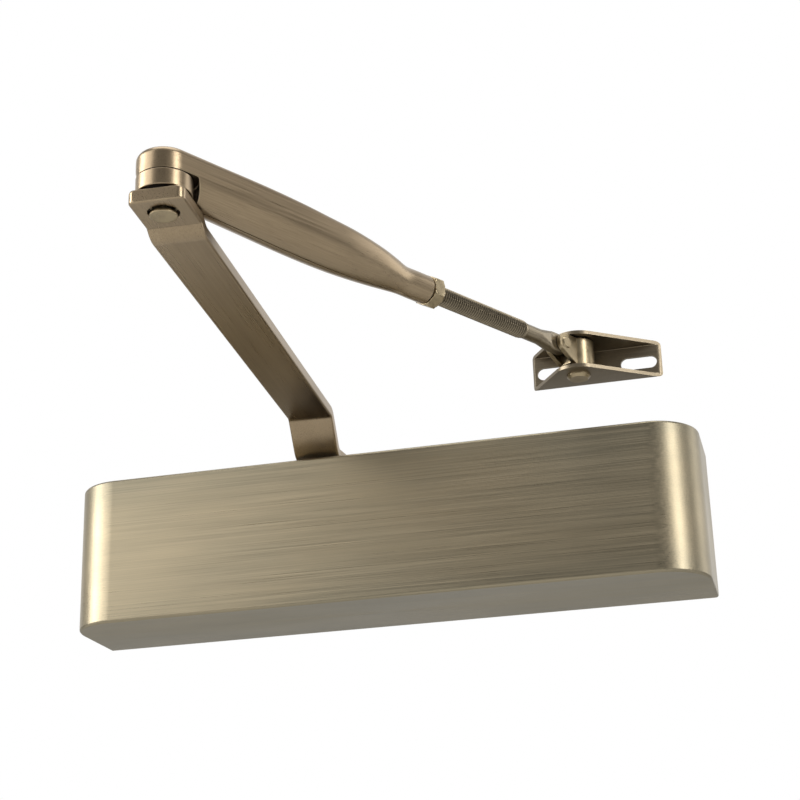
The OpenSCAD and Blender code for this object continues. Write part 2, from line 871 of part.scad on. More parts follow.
// Barrel on the shoe pin with two ears that take the rod's eye between them
module swivel_block() {
    slot = eye_thick + 0.6;
    root = 6;
    color("#b3a072")
    along_forearm()
    difference() {
        union() {
            translate([forearm_length, 0, block_low]) cylinder(h = block_height, r = block_r);
            translate([0, block_half, 0]) rotate([90, 0, 0]) linear_extrude(2 * block_half) hull() {
                translate([rivet_s, rod_z]) circle(r = eye_r);
                translate([forearm_length - root, block_low]) square([root, block_height]);
            }
        }
        translate([rivet_s - eye_r - 1, -slot / 2, block_low - 1])
            cube([2 * eye_r + 1.4, slot, block_height + 2]);
        translate([rivet_s, 10, rod_z]) rotate([90, 0, 0]) cylinder(h = 20, r = rivet_r + slack);
        translate([forearm_length, 0, block_low - 1])
            cylinder(h = block_height + 2, r = shoe_pin_r + slack);
    }
}

// Plan of a flange about the pin: straight edges that run tangent into a round nose
module flange_plan() {
    left = [shoe_left, shoe_back] - shoe_pin_at;
    right = [shoe_right, shoe_back] - shoe_pin_at;
    from = atan2(left.y, left.x) + acos(nose_r / norm(left));
    to = atan2(right.y, right.x) - acos(nose_r / norm(right)) + 360;
    polygon(concat([left],
                   [for (i = [0:24]) let (a = from + (to - from) * i / 24)
                       nose_r * [cos(a), sin(a)]],
                   [right]));
}

module shoe_bracket() {
    slot_half = slot_length / 2 - slot_width / 2;
    color("#6f6350")
    difference() {
        union() {
            translate([shoe_left, shoe_back - shoe_sheet, shoe_low])
                cube([shoe_length, shoe_sheet, shoe_height]);
            for (z = [shoe_low, shoe_low + shoe_height - shoe_sheet])
                translate([shoe_pin_at.x, shoe_pin_at.y, z]) linear_extrude(shoe_sheet)
                    flange_plan();
        }
        for (x = [shoe_left + slot_inset, shoe_right - slot_inset])
            translate([x, shoe_back + 1, slot_z]) {
                for (end = [-1, 1])
                    translate([end * slot_half, 0, 0])
                        rotate([90, 0, 0]) cylinder(h = shoe_sheet + 2, r = slot_width / 2);
                translate([-slot_half, -shoe_sheet - 2, -slot_width / 2])
                    cube([2 * slot_half, shoe_sheet + 2, slot_width]);
            }
        translate([shoe_pin_at.x, shoe_pin_at.y, shoe_low - 1])
            cylinder(h = shoe_height + 2, r = shoe_pin_r);
    }
}

module shoe_pin() {
    head_r = 5.2;
    color("#a8976a")
    translate([shoe_pin_at.x, shoe_pin_at.y, shoe_low]) {
        cylinder(h = shoe_height + 0.8, r = shoe_pin_r - 0.005);
        translate([0, 0, -1.8]) cylinder(h = 1.8, r1 = head_r - 0.9, r2 = head_r);
        translate([0, 0, shoe_height]) cylinder(h = 0.9, r1 = shoe_pin_r + 0.9, r2 = shoe_pin_r);
    }
}

cover();
cover_clips();
clip_screws();
closer_body();
left_end_cap();
right_end_cap();
end_cap_seals();
channel_plugs();
upper_bearing();
lower_bearing();
upper_seal();
lower_seal();
upper_bearing_nut();
lower_bearing_nut();
valve_seals();
sweep_valve();
latch_valve();
backcheck_valve();
piston();
piston_ring();
check_ball();
ball_retainer();
closing_spring();
spring_seat();
power_screw();
power_screw_seal();
pinion_spindle();
lower_spindle_cap();
main_arm();
arm_washer();
arm_screw();
elbow_washer();
elbow_hub();
elbow_shim();
elbow_pin();
forearm();
lock_nut();
threaded_rod();
tilt_rivet();
swivel_block();
shoe_bracket();
shoe_pin();
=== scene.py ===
# Looks of an overhead door closer in antique brass: cover, cranked arm, forearm and shoe.
import json
import math

import bmesh
import bpy
from mathutils import Matrix, Vector


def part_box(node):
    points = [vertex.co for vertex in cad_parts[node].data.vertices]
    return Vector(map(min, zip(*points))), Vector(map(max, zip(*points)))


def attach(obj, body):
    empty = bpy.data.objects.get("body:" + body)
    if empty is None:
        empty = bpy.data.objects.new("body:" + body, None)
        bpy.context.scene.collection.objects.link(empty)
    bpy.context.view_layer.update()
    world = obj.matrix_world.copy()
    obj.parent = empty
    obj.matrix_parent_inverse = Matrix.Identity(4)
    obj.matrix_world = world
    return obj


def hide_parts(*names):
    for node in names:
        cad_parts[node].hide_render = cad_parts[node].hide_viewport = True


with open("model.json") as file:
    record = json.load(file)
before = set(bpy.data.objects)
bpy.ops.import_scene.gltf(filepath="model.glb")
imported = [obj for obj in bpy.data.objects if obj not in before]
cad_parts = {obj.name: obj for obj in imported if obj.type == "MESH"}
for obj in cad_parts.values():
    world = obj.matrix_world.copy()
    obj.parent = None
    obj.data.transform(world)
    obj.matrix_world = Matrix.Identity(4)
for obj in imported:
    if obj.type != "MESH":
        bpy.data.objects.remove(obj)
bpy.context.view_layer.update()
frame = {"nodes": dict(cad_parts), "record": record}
MM = 0.001


# ---------- places, all read from the frame ----------

def middle(node):
    low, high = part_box(node)
    return (low + high) / 2


spindle = middle("arm_washer")
elbow = middle("elbow_hub")
shoe = middle("shoe_pin")
rod_z = middle("threaded_rod").z
arm_angle = math.atan2(elbow.y - spindle.y, elbow.x - spindle.x)
forearm_angle = math.atan2(shoe.y - elbow.y, shoe.x - elbow.x)
arm_length = math.hypot(elbow.x - spindle.x, elbow.y - spindle.y)
forearm_length = math.hypot(shoe.x - elbow.x, shoe.y - elbow.y)

AT_ORIGIN = Matrix.Identity(4)
ALONG_ARM = Matrix.Translation((spindle.x, spindle.y, 0)) @ Matrix.Rotation(arm_angle, 4, "Z")
AT_ELBOW = Matrix.Translation((elbow.x, elbow.y, 0)) @ Matrix.Rotation(forearm_angle, 4, "Z")
AT_ROD = Matrix.Translation((elbow.x, elbow.y, rod_z)) @ Matrix.Rotation(forearm_angle, 4, "Z")
AT_SHOE = Matrix.Translation((shoe.x, shoe.y, 0))


# ---------- mesh helpers ----------

def mesh_object(name, points, faces):
    """A welded object with outward normals, from points in metres."""
    mesh = bpy.data.meshes.new(name)
    mesh.from_pydata([tuple(p) for p in points], [], faces)
    shape = bmesh.new()
    shape.from_mesh(mesh)
    bmesh.ops.remove_doubles(shape, verts=shape.verts, dist=1e-6)
    bmesh.ops.dissolve_degenerate(shape, edges=shape.edges, dist=1e-7)
    bmesh.ops.recalc_face_normals(shape, faces=shape.faces)
    shape.to_mesh(mesh)
    shape.free()
    thing = bpy.data.objects.new(name, mesh)
    bpy.context.scene.collection.objects.link(thing)
    return thing


def loft(name, rings, closed=False):
    """Skin over rings with the same number of points. closed joins the last ring to the first."""
    sides = len(rings[0])
    points = [p for ring in rings for p in ring]
    faces = []
    count = len(rings)
    for i in range(count if closed else count - 1):
        a, b = i * sides, (i + 1) % count * sides
        for k in range(sides):
            n = (k + 1) % sides
            faces.append((a + k, a + n, b + n, b + k))
    if not closed:
        faces.append(tuple(range(sides)))
        faces.append(tuple(range((count - 1) * sides, count * sides)))
    return mesh_object(name, points, faces)


def lathe(name, profile, centre=(0, 0, 0), axis="Z", steps=64):
    """Turns a closed profile of (radius, height) in mm about an axis through centre, in metres."""
    turn = {"X": Matrix.Rotation(math.pi / 2, 4, "Y"), "Y": Matrix.Rotation(-math.pi / 2, 4, "X"),
            "Z": Matrix.Identity(4)}[axis]
    place = Matrix.Translation(centre) @ turn
    rings = []
    for i in range(steps):
        a = 2 * math.pi * i / steps
        rings.append([place @ Vector((r * MM * math.cos(a), r * MM * math.sin(a), h * MM))
                      for r, h in profile])
    return loft(name, rings, closed=True)


def arc(cx, cy, radius, start, end, steps):
    """Points of an arc in degrees, both ends included."""
    return [(cx + radius * math.cos(math.radians(start + (end - start) * i / steps)),
             cy + radius * math.sin(math.radians(start + (end - start) * i / steps)))
            for i in range(steps + 1)]


def rounded_disc(inner, outer, low, high, edge):
    """Profile of a ring or disc whose outer edges are rounded."""
    steps = 4
    return ([(inner, low)] + arc(outer - edge, low + edge, edge, -90, 0, steps)
            + arc(outer - edge, high - edge, edge, 0, 90, steps) + [(inner, high)])


def evaluated(thing):
    """Applies a piece's modifiers to its mesh."""
    mesh = bpy.data.meshes.new_from_object(
        thing.evaluated_get(bpy.context.evaluated_depsgraph_get()))
    thing.modifiers.clear()
    thing.data = mesh
    return thing


def combine(thing, others, operation="DIFFERENCE"):
    """Booleans the other objects into thing and removes them."""
    for other in others:
        change = thing.modifiers.new("combine", "BOOLEAN")
        change.operation = operation
        change.object = other
        change.solver = "EXACT"
    evaluated(thing)
    for other in others:
        bpy.data.objects.remove(other)
    return thing


def prism(name, outline, low, high, axis="Z"):
    """Straight prism over an outline in mm. Its outline lies across the axis."""
    spread = {"X": lambda u, v, w: (w, u, v), "Y": lambda u, v, w: (u, w, v),
              "Z": lambda u, v, w: (u, v, w)}[axis]
    rings = [[Vector(spread(u, v, w)) * MM for u, v in outline] for w in (low, high)]
    return loft(name, rings)


def block(name, low, high):
    outline = [(low[0], low[1]), (high[0], low[1]), (high[0], high[1]), (low[0], high[1])]
    return prism(name, outline, low[2], high[2])


def soften(thing, width, segments=3, angle=35):
    """Rounds a solid's sharp edges for good."""
    bevel = thing.modifiers.new("soften", "BEVEL")
    bevel.width = width * MM
    bevel.segments = segments
    bevel.limit_method = "ANGLE"
    bevel.angle_limit = math.radians(angle)
    return evaluated(thing)


def shade(thing):
    """Smooth shading that keeps creases and flat faces true."""
    crease = math.radians(38)
    mesh = thing.data
    mesh.polygons.foreach_set("use_smooth", [True] * len(mesh.polygons))
    mesh.set_sharp_from_angle(angle=crease)
    weigh = thing.modifiers.new("normals", "WEIGHTED_NORMAL")
    weigh.keep_sharp = True
    weigh.weight = 50
    return thing


def place(thing, matrix, body, slot, finish, nodes=()):
    """Puts a finished piece in place on its body, in the given finish. The slot is not used."""
    shade(thing)
    thing.matrix_world = matrix
    thing.data.materials.clear()
    thing.data.materials.append(finish)
    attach(thing, body)
    if nodes:
        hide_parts(*nodes)
    return thing


# ---------- materials ----------

class Graph:
    """Short calls for building one material's nodes."""

    def __init__(self, name):
        self.material = bpy.data.materials.new(name)
        self.material.use_nodes = True
        self.nodes = self.material.node_tree.nodes
        self.links = self.material.node_tree.links
        self.shader = self.nodes["Principled BSDF"]

    def set(self, node, name, value):
        socket = node.inputs[name]
        if isinstance(value, bpy.types.NodeSocket):
            self.links.new(value, socket)
        else:
            socket.default_value = value

    def add(self, kind, settings=None, **inputs):
        node = self.nodes.new("ShaderNode" + kind)
        for key, value in (settings or {}).items():
            setattr(node, key, value)
        for key, value in inputs.items():
            self.set(node, key.replace("_", " "), value)
        return node

    def place_coords(self, scale):
        coords = self.add("TexCoord").outputs["Object"]
        return self.add("Mapping", Vector=coords, Scale=scale).outputs["Vector"]

    def noise(self, scale, detail=3.0, rough=0.55):
        node = self.add("TexNoise", Vector=self.place_coords(scale), Scale=1.0, Detail=detail,
                        Roughness=rough)
        return node.outputs["Fac"]

    def stretch(self, value, low, high, to_low=0.0, to_high=1.0):
        node = self.add("MapRange", Value=value, To_Min=to_low, To_Max=to_high)
        node.inputs["From Min"].default_value = low
        node.inputs["From Max"].default_value = high
        return node.outputs["Result"]

    def mix(self, share, first, second, mode="MIX"):
        node = self.add("Mix", {"data_type": "RGBA", "blend_type": mode})
        self.set(node, 0, share)
        self.set(node, 6, first)
        self.set(node, 7, second)
        return node.outputs[2]

    def math(self, operation, first, second):
        node = self.add("Math", {"operation": operation})
        self.set(node, 0, first)
        self.set(node, 1, second)
        return node.outputs[0]

    def edge_mask(self, radius):
        """One on convex and concave edges, fading to nought within the radius."""
        rounded = self.add("Bevel", {"samples": 4}, Radius=radius).outputs["Normal"]
        true = self.add("NewGeometry").outputs["Normal"]
        dot = self.add("VectorMath", {"operation": "DOT_PRODUCT"})
        self.links.new(rounded, dot.inputs[0])
        self.links.new(true, dot.inputs[1])
        return self.stretch(dot.outputs["Value"], 0.995, 0.90)


    def painted_recess_shade(self, distance):
        """Painted shade: one deep in a recess, where shadow falls, nought out in the open."""
        node = self.add("AmbientOcclusion", {"samples": 6}, Distance=distance)
        return self.stretch(node.outputs["AO"], 0.62, 0.12)

    def away_from_middle(self, axis, near, far):
        """Grows from nought to one with the distance from the piece's own middle plane."""
        split = self.add("SeparateXYZ", Vector=self.place_coords((1, 1, 1)))
        return self.stretch(self.math("ABSOLUTE", split.outputs[axis], 0.0), near, far)


def rgb(r, g, b):
    return (r, g, b, 1.0)


def brushed_plate(name, dark, base, bright, rough, anisotropic=0.0, edge=0.0009, rim=0.0,
                  grain=1.0):
    """Brushed antique plating with painted shade in its recesses. The brushing runs along the piece's
    own X.

    A rim above nought darkens the piece towards its upper and lower edges.
    """
    g = Graph(name)
    hairs = g.noise((12, 2600 * grain, 2600 * grain), detail=4, rough=0.62)
    fine = g.noise((30, 6500 * grain, 6500 * grain), detail=2, rough=0.5)
    bands = g.noise((7, 95, 95), detail=5, rough=0.6)
    clouds = g.noise((11, 26, 26), detail=3, rough=0.55)
    darkening = g.math("ADD", g.stretch(bands, 0.3, 0.7, 0.0, 0.38),
                    g.stretch(clouds, 0.3, 0.7, 0.0, 0.55))
    # The rim darkens the colour by height, towards the upper and lower edges.
    if rim:
        darkening = g.math("ADD", darkening, g.math("MULTIPLY", g.away_from_middle("Z", 0.012, 0.034), rim))
    tone = g.mix(darkening, base, dark)
    streaked = g.mix(g.stretch(hairs, 0.35, 0.72, 0.0, 0.32), tone, bright)
    scratched = g.mix(g.stretch(fine, 0.30, 0.48, 0.16, 0.0), streaked, dark)
    worn = g.mix(g.math("MULTIPLY", g.edge_mask(edge), 0.55), scratched, bright)
    # Painted shade: the colour goes near black deep in recesses, where shadow falls.
    shade_in_recesses = g.mix(g.math("MULTIPLY", g.painted_recess_shade(0.006), 0.85), worn, rgb(0.02, 0.017, 0.012))
    g.set(g.shader, "Base Color", shade_in_recesses)
    g.set(g.shader, "Metallic", 1.0)
    roughness = g.math("ADD", g.stretch(hairs, 0.3, 0.7, rough - 0.05, rough + 0.07),
                       g.stretch(clouds, 0.3, 0.7, -0.02, 0.03))
    g.set(g.shader, "Roughness", roughness)
    height = g.math("ADD", hairs, g.math("MULTIPLY", fine, 0.5))
    bump = g.add("Bump", Strength=0.35, Distance=0.000022, Height=height)
    g.set(g.shader, "Normal", bump.outputs["Normal"])
    if anisotropic:
        g.shader.inputs["Anisotropic"].default_value = anisotropic
        tangent = g.add("Tangent", {"direction_type": "RADIAL", "axis": "Z"})
        g.set(g.shader, "Tangent", tangent.outputs["Tangent"])
    return g.material


def turned_metal(name, dark, base, bright, rough, spots=900.0):
    """Machined, tumbled or plated small parts with soft mottling and worn edges."""
    g = Graph(name)
    speck = g.noise((spots, spots, spots), detail=4, rough=0.6)
    stain = g.noise((120, 120, 120), detail=3, rough=0.6)
    tone = g.mix(g.stretch(stain, 0.35, 0.7), base, dark)
    tone = g.mix(g.stretch(speck, 0.5, 0.75, 0.0, 0.4), tone, bright)
    tone = g.mix(g.math("MULTIPLY", g.edge_mask(0.0005), 0.6), tone, bright)
    g.set(g.shader, "Base Color", tone)
    g.set(g.shader, "Metallic", 1.0)
    g.set(g.shader, "Roughness", g.stretch(speck, 0.3, 0.75, rough - 0.06, rough + 0.1))
    bump = g.add("Bump", Strength=0.25, Distance=0.00003, Height=speck)
    g.set(g.shader, "Normal", bump.outputs["Normal"])
    return g.material


def threaded_plate(name, dark, base, bright, root, crest, end):
    """Plating on the rod, with painted shade in the roots of its thread. The thread ends at end, along
    X.
    """
    g = Graph(name)
    split = g.add("SeparateXYZ", Vector=g.place_coords((1, 1, 1)))
    across = g.add("CombineXYZ", Y=split.outputs["Y"], Z=split.outputs["Z"])
    reach = g.add("VectorMath", {"operation": "LENGTH"})
    g.links.new(across.outputs[0], reach.inputs[0])
    # Painted shade: the colour goes near black with depth into the thread's roots, up to the thread's
    # end.
    on_thread = g.math("LESS_THAN", split.outputs["X"], end)
    depth = g.math("MULTIPLY", g.stretch(reach.outputs["Value"], crest, root), on_thread)
    hairs = g.noise((40, 1800, 1800), detail=3)
    stain = g.noise((90, 60, 60), detail=3, rough=0.6)
    tone = g.mix(g.stretch(stain, 0.35, 0.7, 0.0, 0.6), base, dark)
    tone = g.mix(g.stretch(hairs, 0.45, 0.75, 0.0, 0.4), tone, bright)
    g.set(g.shader, "Base Color", g.mix(g.math("MULTIPLY", depth, 0.9), tone, rgb(0.03, 0.025, 0.018)))
    g.set(g.shader, "Metallic", 1.0)
    g.set(g.shader, "Roughness", g.stretch(hairs, 0.3, 0.7, 0.30, 0.40))
    bump = g.add("Bump", Strength=0.15, Distance=0.00002, Height=hairs)
    g.set(g.shader, "Normal", bump.outputs["Normal"])
    return g.material


def cast_metal(name, dark, base, bright):
    """Blasted casting: fine grit, blotches and edges rubbed bright."""
    g = Graph(name)
    grit = g.noise((1500, 1500, 1500), detail=5, rough=0.7)
    blotch = g.noise((45, 45, 45), detail=4, rough=0.6)
    tone = g.mix(g.stretch(blotch, 0.35, 0.7), base, dark)
    tone = g.mix(g.stretch(grit, 0.45, 0.7, 0.0, 0.5), tone, bright)
    tone = g.mix(g.math("MULTIPLY", g.edge_mask(0.0008), 0.5), tone, bright)
    g.set(g.shader, "Base Color", tone)
    g.set(g.shader, "Metallic", 0.85)
    g.set(g.shader, "Roughness", g.stretch(grit, 0.3, 0.7, 0.42, 0.62))
    bump = g.add("Bump", Strength=0.5, Distance=0.00008, Height=grit)
    g.set(g.shader, "Normal", bump.outputs["Normal"])
    return g.material


def dull_polymer(name, dark, base, rough):
    """Rubber or moulded plastic."""
    g = Graph(name)
    skin = g.noise((2200, 2200, 2200), detail=3, rough=0.6)
    bloom = g.noise((150, 150, 150), detail=3, rough=0.6)
    g.set(g.shader, "Base Color", g.mix(g.stretch(bloom, 0.3, 0.7), base, dark))
    g.set(g.shader, "Roughness", g.stretch(skin, 0.3, 0.7, rough - 0.08, rough + 0.08))
    bump = g.add("Bump", Strength=0.3, Distance=0.00003, Height=skin)
    g.set(g.shader, "Normal", bump.outputs["Normal"])
    return g.material


finishes = {
    "cover_plate": brushed_plate("cover_plate", rgb(0.20, 0.178, 0.126), rgb(0.315, 0.262, 0.172),
                                 rgb(0.46, 0.38, 0.255), 0.32, anisotropic=0.5, rim=0.4),
    "arm_plate": brushed_plate("arm_plate", rgb(0.19, 0.142, 0.088), rgb(0.31, 0.237, 0.152),
                               rgb(0.46, 0.36, 0.235), 0.31, edge=0.0008),
    "shoe_plate": brushed_plate("shoe_plate", rgb(0.13, 0.105, 0.072), rgb(0.215, 0.178, 0.125),
                                rgb(0.36, 0.295, 0.20), 0.36, edge=0.0004, grain=1.3),
    "bright_plate": turned_metal("bright_plate", rgb(0.25, 0.20, 0.125), rgb(0.36, 0.29, 0.18),
                                 rgb(0.50, 0.41, 0.27), 0.33, spots=500.0),
    "cast_body": cast_metal("cast_body", rgb(0.34, 0.34, 0.345), rgb(0.50, 0.505, 0.51),
                            rgb(0.68, 0.685, 0.69)),
    "turned_steel": turned_metal("turned_steel", rgb(0.36, 0.36, 0.365), rgb(0.50, 0.50, 0.51),
                                 rgb(0.68, 0.68, 0.69), 0.27),
    "hard_steel": turned_metal("hard_steel", rgb(0.10, 0.10, 0.105), rgb(0.20, 0.20, 0.21),
                               rgb(0.42, 0.42, 0.43), 0.35),
    "zinc_steel": turned_metal("zinc_steel", rgb(0.52, 0.53, 0.545), rgb(0.66, 0.67, 0.69),
                               rgb(0.80, 0.81, 0.83), 0.30, spots=500.0),
    "black_rubber": dull_polymer("black_rubber", rgb(0.012, 0.012, 0.013),
                                 rgb(0.030, 0.030, 0.031), 0.72),
    "black_plastic": dull_polymer("black_plastic", rgb(0.015, 0.015, 0.017),
                                  rgb(0.040, 0.040, 0.043), 0.48),
    "valve_brass": turned_metal("valve_brass", rgb(0.46, 0.35, 0.15), rgb(0.62, 0.48, 0.22),
                                rgb(0.80, 0.66, 0.38), 0.28),
}


# ---------- cover ----------

def cover_outline(length, depth, corner):
    """Plan in mm: square at the door side, round at both front corners."""
    half = length / 2
    left = arc(-half + corner, -depth + corner, corner, 180, 270, 28)
    right = arc(half - corner, -depth + corner, corner, 270, 360, 28)
    return [(-half, 0.0)] + left + right + [(half, 0.0)]


def cover_slab(name, length, depth, height, corner, edge):
    """Solid with the cover's plan and rounded upper and lower edges."""
    rings = []
    for sign in (-1, 1):
        steps = arc(0, 0, edge, -90, 0, 6) if sign < 0 else arc(0, 0, edge, 0, 90, 6)
        for out, rise in steps:
            inset = edge - out
            z = sign * (height / 2 - edge) + rise
            outline = cover_outline(length - 2 * inset, depth - inset, corner - inset)
            rings.append([Vector((x, y, z)) * MM for x, y in outline])
    return loft(name, rings)


def build_cover():
    low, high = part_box("cover")
    length, depth, height = (high - low) / MM
    wall, corner, edge = 1.5, 22.0, 1.4
    inner_edge, notch_r = 0.4, 16.0
    past_door, past_notch = 1.0, 20.0
    cover = cover_slab("cover_shell", length, depth, height, corner, edge)
    hollow = cover_slab("hollow", length - 2 * wall, depth - wall + past_door, height - 2 * wall,
                        corner - wall, inner_edge)
    hollow.data.transform(Matrix.Translation((0, past_door * MM, 0)))
    x, y = spindle.x / MM, spindle.y / MM
    outline = arc(x, y, notch_r, 180, 360, 32) + [(x + notch_r, past_notch), (x - notch_r, past_notch)]
    notch = prism("notch", outline, 0, height)
    combine(cover, [hollow, notch])
    place(cover, AT_ORIGIN, "housing", "cover_plate", finishes["cover_plate"], ["cover"])


build_cover()


# ---------- main arm ----------

ARM_WIDTH = 20.6
ARM_THICK = 5.2
FOOT_R = 12.0


def bend(at, start, end, inner, off):
    """Points and angles of one bend. off is the height above the bar's lower face, in mm."""
    turn = 1 if end > start else -1
    radius = inner + (ARM_THICK if turn > 0 else 0)
    back = radius * math.tan(abs(end - start) / 2)
    cx = at[0] - back * math.cos(start) - turn * radius * math.sin(start)
    cz = at[1] - back * math.sin(start) + turn * radius * math.cos(start)
    reach = radius - turn * off
    steps = 10
    found = []
    for i in range(steps + 1):
        a = start + (end - start) * i / steps
        found.append((cx + turn * reach * math.sin(a), cz - turn * reach * math.cos(a), a))
    return found


def build_main_arm():
    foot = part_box("main_arm")[0].z / MM
    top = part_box("main_arm")[1].z / MM - ARM_THICK
    step_height, past_pin = 3.0, 10.0
    bar = top - step_height
    end = arm_length / MM + past_pin
    riser = (13.0, 25.5)
    joggle = (arm_length / MM - 15.4, arm_length / MM - 11)
    rise = math.atan2(bar - foot, riser[1] - riser[0])
    step = math.atan2(top - bar, joggle[1] - joggle[0])
    off = ARM_THICK / 2
    edge = 1.05
    corner = 3.2
    bend_r, joggle_low_r, joggle_high_r = 3, 5, 0.9
    path = [(-FOOT_R * math.cos(math.radians(a)), foot + off, 0.0) for a in range(4, 88, 7)]
    path += bend((riser[0], foot), 0, rise, bend_r, off)
    path += bend((riser[1], bar), rise, 0, bend_r, off)
    path += [(x, bar + off, 0.0) for x in range(45, 210, 15)]
    path += bend((joggle[0], bar), 0, step, joggle_low_r, off)
    path += bend((joggle[1], top), step, 0, joggle_high_r, off)
    path += [(end - corner + corner * math.sin(math.radians(a)), top + off, 0.0)
             for a in range(0, 76, 8)]
    rings = []
    for x, z, angle in path:
        half = ARM_WIDTH / 2
        if x < 9:
            half = max(half, math.sqrt(max(FOOT_R ** 2 - x ** 2, 0))) if x > 0 else \
                math.sqrt(FOOT_R ** 2 - x ** 2)
        if x > end - corner:
            half = half - corner + math.sqrt(max(corner ** 2 - (x - end + corner) ** 2, 0))
        thin = off
        if x > end - edge:
            thin = off - edge + math.sqrt(max(edge ** 2 - (x - end + edge) ** 2, 0))
        if x < -FOOT_R + edge:
            thin = off - edge + math.sqrt(max(edge ** 2 - (-FOOT_R + edge - x) ** 2, 0))
        r = min(edge, half * 0.9, thin * 0.9)
        ring = []
        for sy, sz, start in ((1, -1, -90), (1, 1, 0), (-1, 1, 90), (-1, -1, 180)):
            ring += arc(sy * (half - r), sz * (thin - r), r, start, start + 90, 4)
        rings.append([Vector((x - n * math.sin(angle), y, z + n * math.cos(angle))) * MM
                      for y, n in ring])
    arm = loft("main_arm_bar", rings)
    pin_x = arm_length
    low = top - 1
    high = top + ARM_THICK + 1
    pin_r, mouth_r, pocket_r, pocket_depth = 5.0, 6.9, 5.6, 2.0
    hole = lathe("pin_hole", [(0, low), (mouth_r, low), (pocket_r + 0.05, top + 0.2),
                              (pocket_r, top + pocket_depth), (pin_r, top + pocket_depth),
                              (pin_r, high), (0, high)], (pin_x, 0, 0))
    half = 5
    square = block("square", (-half, -half, foot - 1), (half, half, foot + ARM_THICK + 1))
    combine(arm, [hole, square])
    place(arm, ALONG_ARM, "spindle", "arm_plate", finishes["arm_plate"], ["main_arm"])


build_main_arm()


# ---------- elbow ----------

def build_elbow():
    low, high = (c.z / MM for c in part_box("elbow_pin"))
    pin_r = 4.97
    plate = low + 1.5
    neck_r, head_edge, dimple_r = pin_r - 0.8, 0.3, 2.2
    pin = lathe("elbow_rivet", [(0, low), (neck_r, low)]
                + arc(pin_r - head_edge, low + head_edge, head_edge, -70, 0, 4)
                + [(pin_r - 0.02, low + 0.7)]
                + [(neck_r, low + 0.75), (neck_r, plate + 2), (pin_r, plate + 2)]
                + [(pin_r, high - 0.4), (pin_r - 0.4, high), (dimple_r, high),
                   (dimple_r - 0.6, high - 0.5), (0, high - 0.6)])
    place(pin, AT_ELBOW, "spindle", "bright_plate", finishes["bright_plate"], ["elbow_pin"])
    low, high = (c.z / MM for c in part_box("elbow_hub"))
    bore_r, hub_r, hub_edge = 5.03, 10.1, 0.45
    hub = lathe("elbow_hub_disc", rounded_disc(bore_r, hub_r, low, high, hub_edge), steps=96)
    place(hub, AT_ELBOW, "spindle", "arm_plate", finishes["arm_plate"], ["elbow_hub"])
    for node, reach in (("elbow_washer", 7.6), ("elbow_shim", 8.4)):
        low, high = (c.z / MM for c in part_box(node))
        ring = lathe(node + "_ring", rounded_disc(bore_r, reach, low, high, 0.1))
        place(ring, AT_ELBOW, "spindle", "hard_steel", finishes["hard_steel"], [node])


build_elbow()


# ---------- forearm ----------

# Half width, top, underside and top corner radius along the forearm, in mm
FOREARM = [(0, 10.1, 78.3, 62.1, 3.0), (16, 10.1, 78.3, 62.1, 3.0), (40, 10.3, 78.2, 61.3, 3.0),
           (58, 10.5, 77.6, 60.6, 3.1), (73, 10.4, 76.9, 60.3, 3.4), (84, 10.1, 76.6, 60.4, 3.8),
           (94, 9.4, 76.1, 60.8, 4.2), (104, 8.4, 75.4, 61.4, 4.8), (112, 7.1, 74.8, 62.0, 5.4)]
NECK = (119.0, 133.3, 5.85)


def blend_between(stations, s):
    """Smooth value of every column at s, through the stations."""
    last = len(stations) - 1
    i = max(k for k in range(last) if stations[k][0] <= s or k == 0)
    a, b = stations[i], stations[i + 1]
    before, after = stations[max(i - 1, 0)], stations[min(i + 2, last)]
    span = b[0] - a[0]
    t = min(max((s - a[0]) / span, 0), 1)
    values = []
    for column in range(1, len(a)):
        in_slope = (b[column] - before[column]) / max(b[0] - before[0], 1e-6) * span
        out_slope = (after[column] - a[column]) / max(after[0] - a[0], 1e-6) * span
        values.append((2 * t ** 3 - 3 * t ** 2 + 1) * a[column] + (t ** 3 - 2 * t ** 2 + t) * in_slope
                      + (3 * t ** 2 - 2 * t ** 3) * b[column] + (t ** 3 - t ** 2) * out_slope)
    return values


def half_section(half, top, low, corner, seam):
    """Half of the forearm's section, from bottom middle to top middle, as (out, z) in mm."""
    groove = [(0.0, low + 1.0 * seam), (0.14, low + 0.6 * seam), (0.26, low + 0.08)]
    under = arc(0, low + half, half, -90, 0, 18)[1:]
    over = arc(half - corner, top - corner, corner, 0, 90, 10)
    crown = [((half - corner) * k / 3, top) for k in (2, 1, 0)]
    return groove + under + over + crown


